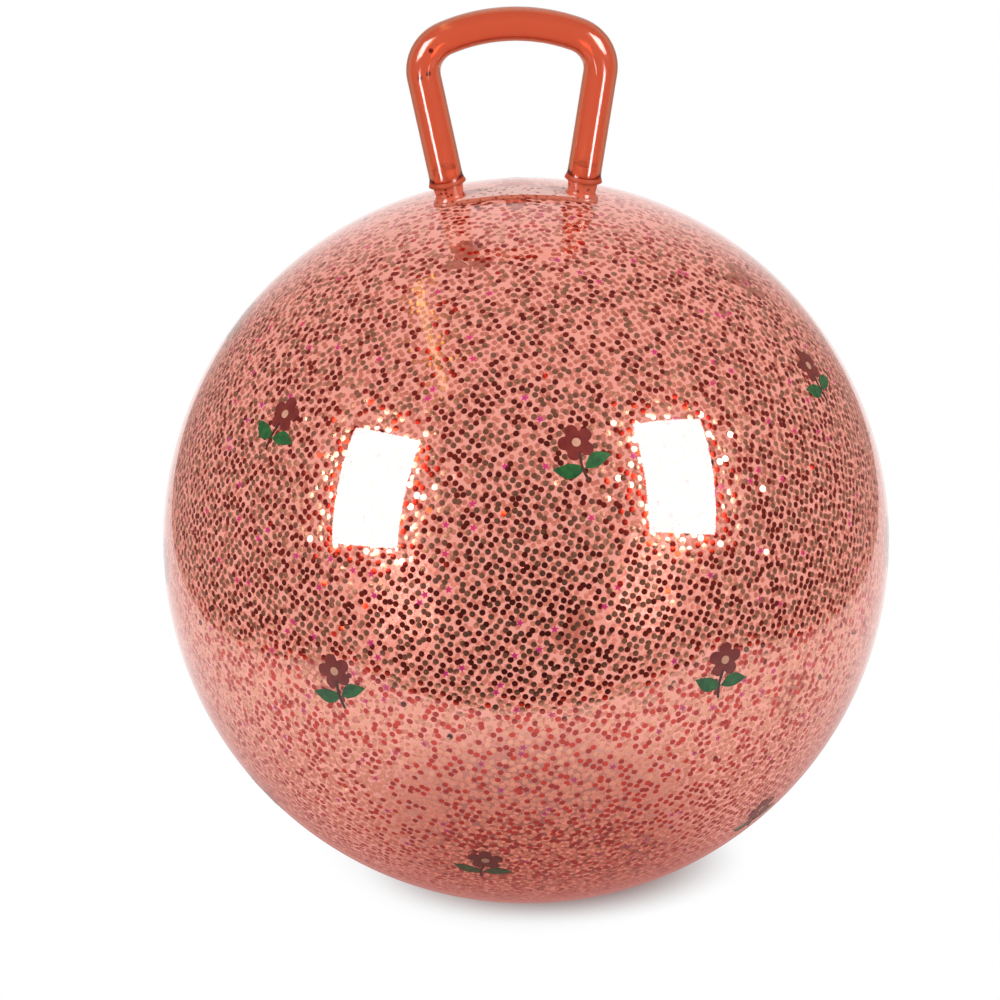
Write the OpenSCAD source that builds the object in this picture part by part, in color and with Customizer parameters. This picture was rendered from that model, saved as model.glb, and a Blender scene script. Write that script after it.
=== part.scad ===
// Hopper ball: an inflated ball that stands on its flattened contact patch, with a hollow D-shaped
// carrying loop on two soft necks, a bung valve behind the loop and loose foil glitter inside.
// Millimetres, +Z up, origin on the floor at the middle of the contact patch, loop along X.

/* [Ball] */
// Diameter of the inflated ball
ball_d = 450; // [380:5:550]
// Thickness of the ball's skin
skin_wall = 1.2; // [0.8:0.1:2.5]
// Radius of the flat patch on which the soft ball settles
foot_r = 30; // [22:1:45]

/* [Handle loop] */
// Outside diameter of the loop's tube
tube_d = 20.5; // [18:0.5:26]
// Wall of the loop's tube
tube_wall = 2.5; // [1.5:0.1:3.5]
// Distance between the legs' centrelines at their lower ends
leg_spread = 82; // [72:1:110]
// Angle by which each leg leans outwards
leg_lean = 10; // [0:1:14]
// Straight length of each leg
leg_len = 67; // [45:1:100]
// Centreline radius of the two corners
corner_r = 22; // [16:1:28]
// Centreline radius of the arched grip bar
bar_r = 105; // [85:1:220]
// Amount by which the inflated tube swells at its corners
corner_swell = 0.15; // [0.1:0.05:0.5]
// Amount by which the lip at a leg's lower end stands proud of the tube
lip_flare = 1.2; // [0.4:0.1:2]
// Height of that flared lip
lip_h = 5; // [3:0.5:10]

/* [Necks and saddle] */
// Height of a neck from the saddle to the loop's lip
neck_h = 9; // [8:0.5:14]
// Diameter of a neck under the lip
neck_top_d = 18.6; // [16:0.1:20]
// Diameter of a neck at the saddle
neck_base_d = 16.6; // [14:0.1:20]
// Diameter of the air passage through a neck
neck_bore_d = 9; // [6:0.5:11]
// Length of the spigot that a leg is pushed over
spigot_len = 14; // [8:1:25]
// Thickness of the saddle
saddle_t = 2.5; // [1.5:0.1:4]
// Width of the saddle across the loop
saddle_w = 21; // [18:0.5:28]
// Length by which the saddle runs on past each neck
saddle_margin = 2; // [1:0.5:6]

/* [Valve] */
// Angle from the crown back to the valve
valve_angle = 28; // [22:1:50]
// Diameter of the plug's stem
stem_d = 8; // [6:0.5:11]
// Diameter of the seat's rim where it comes through the skin
rim_d = 17; // [15:0.5:22]
// Height of the seat's rim above the skin
rim_h = 1; // [0.6:0.1:2]
// Diameter of the seat's flange inside the skin
flange_d = 28; // [26:1:36]
// Thickness of the seat's flange
flange_t = 1.5; // [1:0.1:3]
// Outside diameter of the seat's sleeve
sleeve_d = 13; // [13:0.5:15]
// Length of the seat's sleeve below its flange
sleeve_len = 10; // [6:0.5:16]
// Diameter of the plug's head
head_d = 14; // [13:0.5:15]
// Thickness of the plug's head
head_t = 2.2; // [1.5:0.1:4]
// Length of the plug's tapered tip
tip_len = 3; // [2:0.5:6]
// Diameter at the end of that tip
tip_d = 5; // [3:0.5:5.5]

/* [Glitter] */
// Width of a round flake
dot_d = 3.6; // [2:0.1:6]
// Width of a star flake from point to point
star_d = 5.2; // [4:0.1:8]
// Thickness of the foil
foil_t = 0.2; // [0.1:0.05:0.4]
// Places along the spiral of flakes
flake_places = 252; // [126:21:420]
// One place in this many holds a star
star_every = 9; // [7:1:14]

/* [Clearances] */
// Gap that a weld or glue line fills between two fixed pieces
weld_gap = 0.3; // [0.2:0.05:0.4]
// Radial clearance of the plug's stem in its seat
stem_clearance = 0.05; // [0.02:0.01:0.1]
// Radial clearance of a spigot in its leg
spigot_clearance = 0.15; // [0.1:0.05:0.3]
// Gap between the foil flakes and the inside of the skin
foil_gap = 0.2; // [0.1:0.05:0.4]

/* [Hidden] */
$fn = 96;

// Length by which a cut runs on past the face it opens
cut_extra = 1;
// Sides of the large spheres, so that their flats stay well inside foil_gap on the largest ball
sphere_sides = 168;

// Ball: the centre stands lower than a full radius because the contact patch is flat
ball_r = ball_d / 2;
ball_z = sqrt(ball_r * ball_r - foot_r * foot_r);
inner_r = ball_r - skin_wall;

// Saddle: a strip between two spheres about the ball's centre
saddle_r1 = ball_r + weld_gap;
saddle_r2 = saddle_r1 + saddle_t;
neck_r0 = saddle_r2 + weld_gap;

// Right-hand leg: neck_x is where its axis meets the saddle, lip_x and lip_z where the tube begins
lip_x = leg_spread / 2;
neck_x = lip_x - neck_h * sin(leg_lean);
neck_z = ball_z + sqrt(saddle_r2 * saddle_r2 - neck_x * neck_x);
lip_z = neck_z + neck_h * cos(leg_lean);
saddle_half = neck_x + neck_base_d / 2 + saddle_margin;
passage_below = neck_h + saddle_t + 2 * weld_gap + skin_wall + neck_bore_d;

// Loop: each corner touches its leg and the arched bar, which is centred on the loop's own middle
corner_x = lip_x + leg_len * sin(leg_lean) - corner_r * cos(leg_lean);
corner_z = lip_z + leg_len * cos(leg_lean) + corner_r * sin(leg_lean);
bar_half_angle = asin(corner_x / (bar_r - corner_r));
bar_z = corner_z - (bar_r - corner_r) * cos(bar_half_angle);
corner_angle = 90 - bar_half_angle + leg_lean;
bore_d = tube_d - 2 * tube_wall;
// The legs and the bar run on into the corners by this length
corner_overlap = 1;
bar_overlap_angle = corner_overlap / bar_r * 180 / PI;

// Valve, measured outwards from the skin's outer face on the valve's own axis
stem_bore_d = stem_d + 2 * stem_clearance;
flange_drop = inner_r - sqrt(inner_r * inner_r - flange_d * flange_d / 4);
flange_top = -skin_wall - flange_drop - weld_gap;
sleeve_end = flange_top - flange_t - sleeve_len;
head_z = rim_h + stem_clearance;

// Glitter: a golden spiral over the inside of the skin, clear of the necks, the valve and the patch
golden_angle = 180 * (3 - sqrt(5));
foil_r = inner_r - foil_gap - foil_t;
flake_margin = star_d;
crown_clear = asin((lip_x + tube_d / 2 + flake_margin) / ball_r);
foot_clear = 180 - asin((foot_r + flake_margin) / ball_r);
valve_clear = asin((flange_d / 2 + flake_margin) / ball_r);
star_inset = 0.45;
star_points = 5;

function spiral_polar(i) = acos(1 - (2 * i + 1) / flake_places);
function spiral_turn(i) = i * golden_angle;
function spiral_direction(i) = [
    sin(spiral_polar(i)) * cos(spiral_turn(i)),
    sin(spiral_polar(i)) * sin(spiral_turn(i)),
    cos(spiral_polar(i))
];
function valve_direction() = [0, sin(valve_angle), cos(valve_angle)];
function place_is_free(i) =
    spiral_polar(i) > crown_clear
    && spiral_polar(i) < foot_clear
    && spiral_direction(i) * valve_direction() < cos(valve_clear);

// The outline of a five-pointed star of width star_d
function star_outline() = [
    for (k = [0 : 2 * star_points - 1])
        (k % 2 == 0 ? 1 : star_inset) * star_d / 2
        * [cos(k * 180 / star_points), sin(k * 180 / star_points)]
];

// A ball about the common centre, cut flat at height floor_z
module settled_ball(r, floor_z) {
    intersection() {
        translate([0, 0, ball_z]) sphere(r = r, $fn = sphere_sides);
        translate([-ball_d, -ball_d, floor_z]) cube(2 * ball_d);
    }
}

// Puts its children at a leg's lower end, with +Z along the leg
module on_right_leg() {
    translate([lip_x, 0, lip_z]) rotate([0, leg_lean, 0]) children();
}

module on_both_legs() {
    on_right_leg() children();
    mirror([1, 0, 0]) on_right_leg() children();
}

// The air passage from the ball through saddle and neck
module neck_passage() {
    translate([0, 0, -passage_below])
        cylinder(d = neck_bore_d, h = passage_below + spigot_len + cut_extra);
}

// Puts its children on the skin at the valve, with +Z outwards
module at_valve() {
    translate([0, 0, ball_z]) rotate([-valve_angle, 0, 0]) translate([0, 0, ball_r]) children();
}

// Puts its children flat against the inside of the skin at one place of the spiral
module at_flake(i) {
    translate([0, 0, ball_z])
        rotate([0, spiral_polar(i), spiral_turn(i)])
            translate([0, 0, foil_r]) children();
}

// An arc of tube in the plane of the loop, from angle start through angle sweep, fatter by swell
module tube_arc(centre_x, centre_z, radius, start, sweep, swell) {
    translate([centre_x, 0, centre_z]) rotate([90, 0, 0]) rotate([0, 0, start])
        rotate_extrude(angle = sweep) translate([radius, 0]) difference() {
            circle(d = tube_d + 2 * swell);
            circle(d = bore_d + 2 * swell);
        }
}

module ball_skin() {
    color("lightsalmon", 0.6) difference() {
        settled_ball(ball_r, 0);
        settled_ball(inner_r, skin_wall);
        on_both_legs() neck_passage();
        at_valve() translate([0, 0, flange_top])
            cylinder(d = rim_d + 2 * weld_gap, h = cut_extra - flange_top);
    }
}

module handle_saddle() {
    color("orangered") difference() {
        intersection() {
            translate([0, 0, ball_z]) linear_extrude(ball_d) {
                square([2 * saddle_half - saddle_w, saddle_w], center = true);
                for (side = [-1, 1])
                    translate([side * (saddle_half - saddle_w / 2), 0]) circle(d = saddle_w);
            }
            translate([0, 0, ball_z]) difference() {
                sphere(r = saddle_r2, $fn = sphere_sides);
                sphere(r = saddle_r1, $fn = sphere_sides);
            }
        }
        on_both_legs() neck_passage();
    }
}

// A tapered neck with the spigot that carries a leg
module neck() {
    color("tomato") difference() {
        on_right_leg() union() {
            translate([0, 0, -neck_h]) cylinder(d1 = neck_base_d, d2 = neck_top_d, h = neck_h - weld_gap);
            translate([0, 0, -neck_h - saddle_t]) cylinder(d = neck_base_d, h = saddle_t);
            translate([0, 0, -weld_gap])
                cylinder(d = bore_d - 2 * spigot_clearance, h = spigot_len + weld_gap);
        }
        translate([0, 0, ball_z]) sphere(r = neck_r0, $fn = sphere_sides);
        on_right_leg() neck_passage();
    }
}

module right_neck() {
    neck();
}

module left_neck() {
    mirror([1, 0, 0]) neck();
}

// One leg with its flared lip, open at the lower end
module leg() {
    difference() {
        union() {
            cylinder(d = tube_d, h = leg_len + corner_overlap);
            cylinder(d1 = tube_d + 2 * lip_flare, d2 = tube_d, h = lip_h);
        }
        translate([0, 0, -cut_extra]) cylinder(d = bore_d, h = leg_len + corner_overlap + 2 * cut_extra);
    }
}

module right_corner() {
    tube_arc(corner_x, corner_z, corner_r, -leg_lean, corner_angle, corner_swell);
}

module grip_bar() {
    half_angle = bar_half_angle + bar_overlap_angle;
    tube_arc(0, bar_z, bar_r, 90 - half_angle, 2 * half_angle, 0);
}

module handle_loop() {
    color("orangered") union() {
        on_both_legs() leg();
        right_corner();
        mirror([1, 0, 0]) right_corner();
        grip_bar();
    }
}

module valve_seat() {
    color("mistyrose") at_valve() rotate_extrude() difference() {
        polygon([
            [0, sleeve_end],
            [sleeve_d / 2, sleeve_end],
            [sleeve_d / 2, flange_top - flange_t],
            [flange_d / 2, flange_top - flange_t],
            [flange_d / 2, flange_top],
            [rim_d / 2, flange_top],
            [rim_d / 2, rim_h],
            [0, rim_h]
        ]);
        translate([0, sleeve_end - cut_extra])
            square([stem_bore_d / 2, rim_h - sleeve_end + 2 * cut_extra]);
    }
}

module valve_plug() {
    color("white") at_valve() rotate_extrude() polygon([
        [0, sleeve_end - tip_len],
        [tip_d / 2, sleeve_end - tip_len],
        [stem_d / 2, sleeve_end],
        [stem_d / 2, head_z],
        [head_d / 2, head_z],
        [head_d / 2, head_z + head_t / 2],
        [head_d / 2 - head_t / 2, head_z + head_t],
        [0, head_z + head_t]
    ]);
}

// The flakes at the places of the spiral whose turn in the pattern is first to last
module flakes(first, last) {
    for (i = [0 : flake_places - 1])
        if (place_is_free(i) && i % star_every >= first && i % star_every <= last)
            at_flake(i) linear_extrude(foil_t) children();
}

module star_glitter() {
    color("deeppink") flakes(0, 0) polygon(star_outline());
}

module red_glitter() {
    color("firebrick") flakes(1, floor(star_every / 2)) circle(d = dot_d, $fn = 8);
}

module silver_glitter() {
    color("silver") flakes(floor(star_every / 2) + 1, star_every - 1) circle(d = dot_d, $fn = 8);
}

ball_skin();
handle_saddle();
left_neck();
right_neck();
handle_loop();
valve_seat();
valve_plug();
red_glitter();
silver_glitter();
star_glitter();
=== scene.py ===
import math
import bmesh
import bpy
import numpy as np
from mathutils import Matrix, Vector


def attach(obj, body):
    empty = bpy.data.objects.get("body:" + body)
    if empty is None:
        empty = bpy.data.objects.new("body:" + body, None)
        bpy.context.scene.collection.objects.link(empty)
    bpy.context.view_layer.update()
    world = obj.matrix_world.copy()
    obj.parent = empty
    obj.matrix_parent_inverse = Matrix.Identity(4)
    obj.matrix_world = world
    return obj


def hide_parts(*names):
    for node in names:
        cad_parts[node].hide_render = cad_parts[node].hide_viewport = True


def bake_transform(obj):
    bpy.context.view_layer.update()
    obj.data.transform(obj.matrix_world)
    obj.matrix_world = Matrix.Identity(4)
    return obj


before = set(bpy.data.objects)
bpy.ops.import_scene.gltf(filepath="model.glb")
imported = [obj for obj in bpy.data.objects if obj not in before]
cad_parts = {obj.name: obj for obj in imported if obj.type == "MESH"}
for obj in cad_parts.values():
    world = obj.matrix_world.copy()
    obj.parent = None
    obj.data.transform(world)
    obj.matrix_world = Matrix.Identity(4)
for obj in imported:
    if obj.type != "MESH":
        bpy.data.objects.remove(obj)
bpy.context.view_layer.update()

MM = 0.001

# Sizes of the solids, in metres
BALL_R = 225.0 * MM
FOOT_R = 30.0 * MM
BALL_Z = math.sqrt(BALL_R ** 2 - FOOT_R ** 2)
BALL_CENTRE = np.array([0.0, 0.0, BALL_Z])
SKIN_WALL = 1.2 * MM
SADDLE_R1 = BALL_R + 0.3 * MM
SADDLE_R2 = SADDLE_R1 + 2.5 * MM
SADDLE_W = 21.0 * MM
TUBE_R = 10.25 * MM
BORE_R = 7.75 * MM
LEG_LEAN = math.radians(10.0)
LEG_LEN = 67.0 * MM
LIP_X = 41.0 * MM
LIP_FLARE = 1.2 * MM
LIP_H = 5.0 * MM
CORNER_R = 22.0 * MM
CORNER_SWELL = 0.15 * MM
BAR_R = 105.0 * MM
NECK_H = 9.0 * MM
NECK_TOP_R = 9.3 * MM
NECK_BASE_R = 8.3 * MM
NECK_X = LIP_X - NECK_H * math.sin(LEG_LEAN)
NECK_Z = BALL_Z + math.sqrt(SADDLE_R2 ** 2 - NECK_X ** 2)
LIP_Z = NECK_Z + NECK_H * math.cos(LEG_LEAN)
SADDLE_HALF = NECK_X + NECK_BASE_R + 2.0 * MM
VALVE_ANGLE = math.radians(28.0)

rng = np.random.default_rng(4187)


# Mesh helpers

WELD_DISTANCE = 1e-6
NO_LENGTH = 1e-7
ROUND_LIMIT = 0.45


def add_piece(name, verts, faces, materials, body, nodes=(), smooth=True):
    """A mesh piece that rides on a body, is shown in place of the nodes it hides, and wears the given
    materials.
    """
    mesh = bpy.data.meshes.new(name)
    mesh.from_pydata([tuple(v) for v in verts], [], [tuple(f) for f in faces])
    for material in materials:
        mesh.materials.append(material)
    mesh.polygons.foreach_set("use_smooth", [smooth] * len(mesh.polygons))
    mesh.update()
    obj = bpy.data.objects.new(name, mesh)
    bpy.context.scene.collection.objects.link(obj)
    if body:
        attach(obj, body)
    if nodes:
        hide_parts(*nodes)
    return obj


def face_outwards(obj, weld=False):
    """Turns the faces outwards. With weld, points that lie together are joined first."""
    work = bmesh.new()
    work.from_mesh(obj.data)
    if weld:
        bmesh.ops.remove_doubles(work, verts=work.verts, dist=WELD_DISTANCE)
        bmesh.ops.dissolve_degenerate(work, edges=work.edges, dist=NO_LENGTH)
    bmesh.ops.recalc_face_normals(work, faces=work.faces)
    work.to_mesh(obj.data)
    work.free()


def lathe(profile, segments):
    """Turns (radius, height) points about Z. The first and last points lie on the axis."""
    turn = np.linspace(0.0, 2.0 * math.pi, segments, endpoint=False)
    verts = [(0.0, 0.0, profile[0][1])]
    for radius, height in profile[1:-1]:
        for a in turn:
            verts.append((radius * math.cos(a), radius * math.sin(a), height))
    verts.append((0.0, 0.0, profile[-1][1]))
    faces = []
    rings = len(profile) - 2
    for k in range(segments):
        nxt = (k + 1) % segments
        faces.append((0, 1 + k, 1 + nxt))
        for ring in range(rings - 1):
            low = 1 + ring * segments
            high = low + segments
            faces.append((low + k, high + k, high + nxt, low + nxt))
        last = 1 + (rings - 1) * segments
        faces.append((last + k, len(verts) - 1, last + nxt))
    return np.array(verts), faces


def corner_curve(start, corner, end, shares):
    """Points on a curve that leaves its start towards the corner and bends to its end."""
    return [tuple((1 - t) ** 2 * start + 2 * t * (1 - t) * corner + t ** 2 * end) for t in shares]


def rounded(points, radius, steps=5):
    """Rounds the inner corners of an open (radius, height) profile, by at most a share of their edges."""
    out = [points[0]]
    for before, corner, after in zip(points, points[1:], points[2:]):
        corner = np.array(corner)
        to_before = np.array(before) - corner
        to_after = np.array(after) - corner
        before_length = np.linalg.norm(to_before)
        after_length = np.linalg.norm(to_after)
        reach = min(radius, ROUND_LIMIT * before_length, ROUND_LIMIT * after_length)
        start = corner + to_before / before_length * reach
        end = corner + to_after / after_length * reach
        out += corner_curve(start, corner, end, np.linspace(0.0, 1.0, steps))
    out.append(points[-1])
    return out


def placed(verts, matrix):
    """The points, moved by a matrix."""
    rotation = np.array(matrix.to_3x3())
    return verts @ rotation.T + np.array(matrix.translation)


# Materials

NOISE_DETAIL = 3.0
VINYL_CLOUDS = 60.0
GLOSS_SWING = (0.6, 1.4)
SPECK_EDGE = (0.26, 0.36)


def new_material(name):
    """An empty material with its output node."""
    material = bpy.data.materials.new(name)
    material.use_nodes = True
    nodes = material.node_tree.nodes
    nodes.clear()
    output = nodes.new("ShaderNodeOutputMaterial")
    return material, nodes, material.node_tree.links, output


def noise(nodes, links, scale):
    """Soft clouds fixed to the piece, from 0 to 1."""
    coords = nodes.new("ShaderNodeTexCoord")
    texture = nodes.new("ShaderNodeTexNoise")
    texture.inputs["Scale"].default_value = scale
    texture.inputs["Detail"].default_value = NOISE_DETAIL
    links.new(coords.outputs["Object"], texture.inputs["Vector"])
    return texture.outputs["Fac"]


def ramp(nodes, links, value, stops):
    """A colour for each value, from (position, colour) stops."""
    node = nodes.new("ShaderNodeValToRGB")
    while len(node.color_ramp.elements) < len(stops):
        node.color_ramp.elements.new(0.5)
    for element, (position, colour) in zip(node.color_ramp.elements, stops):
        element.position = position
        element.color = (*colour, 1.0)
    links.new(value, node.inputs["Fac"])
    return node.outputs["Color"]


def skin_material():
    """Thin clear vinyl: it lets most light straight through, tinted, and mirrors more at a slant."""
    material, nodes, links, output = new_material("clear_tinted_vinyl")
    clear = nodes.new("ShaderNodeBsdfTransparent")
    clear.inputs["Color"].default_value = (0.972, 0.612, 0.548, 1.0)
    haze = nodes.new("ShaderNodeBsdfPrincipled")
    haze.inputs["Base Color"].default_value = (0.90, 0.36, 0.30, 1.0)
    haze.inputs["Roughness"].default_value = 0.35
    body = nodes.new("ShaderNodeMixShader")
    body.inputs["Fac"].default_value = 0.015
    links.new(clear.outputs[0], body.inputs[1])
    links.new(haze.outputs[0], body.inputs[2])
    gloss = nodes.new("ShaderNodeBsdfGlossy")
    gloss.inputs["Color"].default_value = (1.0, 1.0, 1.0, 1.0)
    gloss.inputs["Roughness"].default_value = 0.03
    slant = nodes.new("ShaderNodeLayerWeight")
    slant.inputs["Blend"].default_value = 0.5
    power = nodes.new("ShaderNodeMath")
    power.operation = "POWER"
    power.inputs[1].default_value = 5.0
    links.new(slant.outputs["Facing"], power.inputs[0])
    mirror = nodes.new("ShaderNodeMapRange")
    mirror.inputs["To Min"].default_value = 0.055
    mirror.inputs["To Max"].default_value = 0.95
    links.new(power.outputs[0], mirror.inputs["Value"])
    mix = nodes.new("ShaderNodeMixShader")
    links.new(mirror.outputs["Result"], mix.inputs["Fac"])
    links.new(body.outputs[0], mix.inputs[1])
    links.new(gloss.outputs[0], mix.inputs[2])
    links.new(mix.outputs[0], output.inputs["Surface"])
    return material


def vinyl_material(name, colour, roughness, absorb_colour, absorb_density):
    """Tinted vinyl tube: its colour deepens where light goes a longer way through the wall."""
    material, nodes, links, output = new_material(name)
    shader = nodes.new("ShaderNodeBsdfPrincipled")
    shader.inputs["Base Color"].default_value = (*colour, 1.0)
    shader.inputs["IOR"].default_value = 1.5
    shader.inputs["Transmission Weight"].default_value = 1.0
    cloud = noise(nodes, links, VINYL_CLOUDS)
    rough = nodes.new("ShaderNodeMapRange")
    rough.inputs["To Min"].default_value = GLOSS_SWING[0] * roughness
    rough.inputs["To Max"].default_value = GLOSS_SWING[1] * roughness
    links.new(cloud, rough.inputs["Value"])
    links.new(rough.outputs["Result"], shader.inputs["Roughness"])
    links.new(shader.outputs[0], output.inputs["Surface"])
    absorb = nodes.new("ShaderNodeVolumeAbsorption")
    absorb.inputs["Color"].default_value = (*absorb_colour, 1.0)
    absorb.inputs["Density"].default_value = absorb_density
    links.new(absorb.outputs[0], output.inputs["Volume"])
    return material


def speckled_material(name, colour, speck, specks_per_metre, roughness):
    """Skin vinyl over flakes: round dark specks show through it."""
    material, nodes, links, output = new_material(name)
    shader = nodes.new("ShaderNodeBsdfPrincipled")
    coords = nodes.new("ShaderNodeTexCoord")
    cells = nodes.new("ShaderNodeTexVoronoi")
    cells.inputs["Scale"].default_value = specks_per_metre
    links.new(coords.outputs["Object"], cells.inputs["Vector"])
    stops = [(0.0, speck), (SPECK_EDGE[0], speck), (SPECK_EDGE[1], colour), (1.0, colour)]
    links.new(ramp(nodes, links, cells.outputs["Distance"], stops), shader.inputs["Base Color"])
    shader.inputs["Roughness"].default_value = roughness
    links.new(shader.outputs[0], output.inputs["Surface"])
    return material


def foil_material(name, colour, roughness, metal=1.0):
    """Shiny foil in one shade. Several shades are mixed flake by flake."""
    material, nodes, links, output = new_material(name)
    shader = nodes.new("ShaderNodeBsdfPrincipled")
    shader.inputs["Base Color"].default_value = (*colour, 1.0)
    shader.inputs["Metallic"].default_value = metal
    shader.inputs["Roughness"].default_value = roughness
    links.new(shader.outputs[0], output.inputs["Surface"])
    return material


def plain_material(name, dark, light, scale, roughness, specular=0.5):
    """Soft moulded vinyl or printed ink with a faint cloud in its colour."""
    material, nodes, links, output = new_material(name)
    shader = nodes.new("ShaderNodeBsdfPrincipled")
    cloud = noise(nodes, links, scale)
    links.new(ramp(nodes, links, cloud, [(0.3, dark), (0.7, light)]), shader.inputs["Base Color"])
    shader.inputs["Roughness"].default_value = roughness
    shader.inputs["Specular IOR Level"].default_value = specular
    links.new(shader.outputs[0], output.inputs["Surface"])
    return material


skin_look = skin_material()
loop_look = vinyl_material("orange_vinyl", (0.985, 0.475, 0.36), 0.12, (0.77, 0.45, 0.25), 310.0)
spigot_look = plain_material("spigot_vinyl", (0.56, 0.54, 0.50), (0.60, 0.57, 0.53), 90.0, 0.4)
lip_look = plain_material(
    "lip_vinyl", (0.50, 0.075, 0.03), (0.56, 0.09, 0.038), 90.0, 0.45, specular=0.15
)
neck_look = speckled_material("neck_vinyl", (0.66, 0.128, 0.068), (0.28, 0.03, 0.02), 330.0, 0.2)
saddle_look = speckled_material("saddle_vinyl", (0.90, 0.54, 0.48), (0.50, 0.12, 0.09), 240.0, 0.2)
# The saddle's rounded edge: a darker copy of the saddle vinyl, painted shade
saddle_edge_shade_look = speckled_material(
    "saddle_edge_painted_shade", (0.56, 0.16, 0.10), (0.30, 0.04, 0.03), 330.0, 0.25
)
red_looks = [
    foil_material("red_foil", (0.54, 0.055, 0.022), 0.15),
    foil_material("deep_red_foil", (0.44, 0.035, 0.016), 0.18),
    foil_material("bright_red_foil", (0.64, 0.075, 0.030), 0.13),
]
silver_looks = [
    foil_material("silver_foil", (0.90, 0.95, 0.76), 0.15),
    foil_material("grey_foil", (0.86, 0.90, 0.72), 0.27),
    foil_material("bright_silver_foil", (0.94, 0.97, 0.82), 0.12),
]
back_look = foil_material("pale_foil_back", (1.0, 0.82, 0.76), 0.24, metal=0.12)
star_look = plain_material("pink_foil", (0.66, 0.09, 0.86), (0.90, 0.10, 0.55), 14.0, 0.2)
seat_look = plain_material("valve_vinyl", (0.78, 0.36, 0.28), (0.84, 0.42, 0.33), 120.0, 0.35)
plug_look = plain_material("plug_vinyl", (0.76, 0.73, 0.69), (0.84, 0.81, 0.77), 120.0, 0.42)
petal_look = plain_material("petal_ink", (0.17, 0.018, 0.016), (0.24, 0.03, 0.025), 160.0, 0.25)
heart_look = plain_material("heart_ink", (0.62, 0.30, 0.20), (0.72, 0.38, 0.26), 300.0, 0.3)
underprint_look = plain_material("pale_underprint", (0.96, 0.74, 0.68), (0.99, 0.79, 0.73), 200.0, 0.5)
leaf_look = plain_material("leaf_ink", (0.012, 0.07, 0.024), (0.03, 0.16, 0.04), 260.0, 0.25)
stalk_look = plain_material("stalk_ink", (0.06, 0.014, 0.012), (0.09, 0.02, 0.016), 200.0, 0.3)


# Ball skin: one settled ball, turned from its profile

SKIN_RINGS = 150
SKIN_SEGMENTS = 288
FOOT_BEND_ANGLE = 0.03
FOOT_BEND_SHARES = np.linspace(0.15, 1.0, 7)
FOOT_ROUND = 6.0 * MM
FOOT_INNER_R = 0.4 * FOOT_R


def skin_profile():
    """The ball's half outline from the crown down, with a round corner at its flat foot."""
    foot_angle = math.pi - math.asin(FOOT_R / BALL_R)
    points = [(0.0, BALL_Z + BALL_R)]
    for angle in np.linspace(0.0, foot_angle - FOOT_BEND_ANGLE, SKIN_RINGS)[1:]:
        points.append((BALL_R * math.sin(angle), BALL_Z + BALL_R * math.cos(angle)))
    start = np.array(points[-1])
    corner = np.array([FOOT_R, 0.0])
    end = np.array([FOOT_R - FOOT_ROUND, 0.0])
    points += corner_curve(start, corner, end, FOOT_BEND_SHARES)
    points.append((FOOT_INNER_R, 0.0))
    points.append((0.0, 0.0))
    return points


skin_verts, skin_faces = lathe(skin_profile(), SKIN_SEGMENTS)
skin = add_piece("skin_shell", skin_verts, skin_faces, [skin_look], "ball", ["ball_skin"])
face_outwards(skin)


# Glitter: lens-shaped foil flakes against the inside of the skin

FLAKE_COUNT = 29000
DOT_R = 1.85 * MM
DOT_SIDES = 12
STAR_POINTS = 5
STAR_R = 2.6 * MM
STAR_INSET = 0.45
STAR_SHARE = 0.021
RED_SHARE = 0.5
SHADES = 3
FLAKE_STRAY = 0.75 * MM
FLAKE_DEPTH = 0.2 * MM
LOWEST_FLAKE_Z = SKIN_WALL + 0.4 * MM
VALVE_CLEAR_R = 16.5 * MM
FLUSH_SHARE = 0.80
FLUSH_LEAN = 1.6
LEANING_SHARE = 0.97
LEANING_LEAN = 5.0
LOOSE_LEAN = 13.0
MOST_LEAN = 25.0
FOIL_HALF = 0.05 * MM
INSIDE_R = BALL_R - SKIN_WALL - 0.25 * MM
GOLDEN_ANGLE = math.pi * (3.0 - math.sqrt(5.0))

# Shares of missing flakes, and the heights on a ball of radius 1 between which they grow
MISSING_LOW = 0.03
MISSING_TOP = 0.46
THINNING = (0.42, 0.95)

dot_turns = [2 * math.pi * k / DOT_SIDES for k in range(DOT_SIDES)]
dot_outline = np.array([(math.cos(a), math.sin(a)) for a in dot_turns]) * DOT_R
star_turns = [math.pi * k / STAR_POINTS for k in range(2 * STAR_POINTS)]
star_reach = np.where(np.arange(2 * STAR_POINTS) % 2 == 0, 1.0, STAR_INSET)[:, None]
star_outline = np.array([(math.cos(a), math.sin(a)) for a in star_turns]) * star_reach * STAR_R


def flake_frames(normals, turns):
    """Two axes across each normal, turned by its own angle."""
    helper = np.where(np.abs(normals[:, 2:3]) < 0.9, [[0.0, 0.0, 1.0]], [[1.0, 0.0, 0.0]])
    first = np.cross(helper, normals)
    first /= np.linalg.norm(first, axis=1)[:, None]
    second = np.cross(normals, first)
    cos, sin = np.cos(turns)[:, None], np.sin(turns)[:, None]
    return first * cos + second * sin, second * cos - first * sin


def flake_mesh(centres, normals, turns, outline):
    """A thin closed lens for each flake: a rim, a top point and a bottom point."""
    sides = len(outline)
    across, along = flake_frames(normals, turns)
    rim = (
        centres[:, None, :]
        + outline[None, :, 0:1] * across[:, None, :]
        + outline[None, :, 1:2] * along[:, None, :]
    )
    top = centres + normals * FOIL_HALF
    bottom = centres - normals * FOIL_HALF
    verts = np.concatenate([rim, top[:, None, :], bottom[:, None, :]], axis=1).reshape(-1, 3)
    k = np.arange(sides)
    upper = np.stack([k, (k + 1) % sides, np.full(sides, sides)], axis=1)
    lower = np.stack([(k + 1) % sides, k, np.full(sides, sides + 1)], axis=1)
    pattern = np.concatenate([upper, lower])
    starts = np.arange(len(centres)) * (sides + 2)
    faces = (pattern[None, :, :] + starts[:, None, None]).reshape(-1, 3)
    return verts, faces


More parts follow.
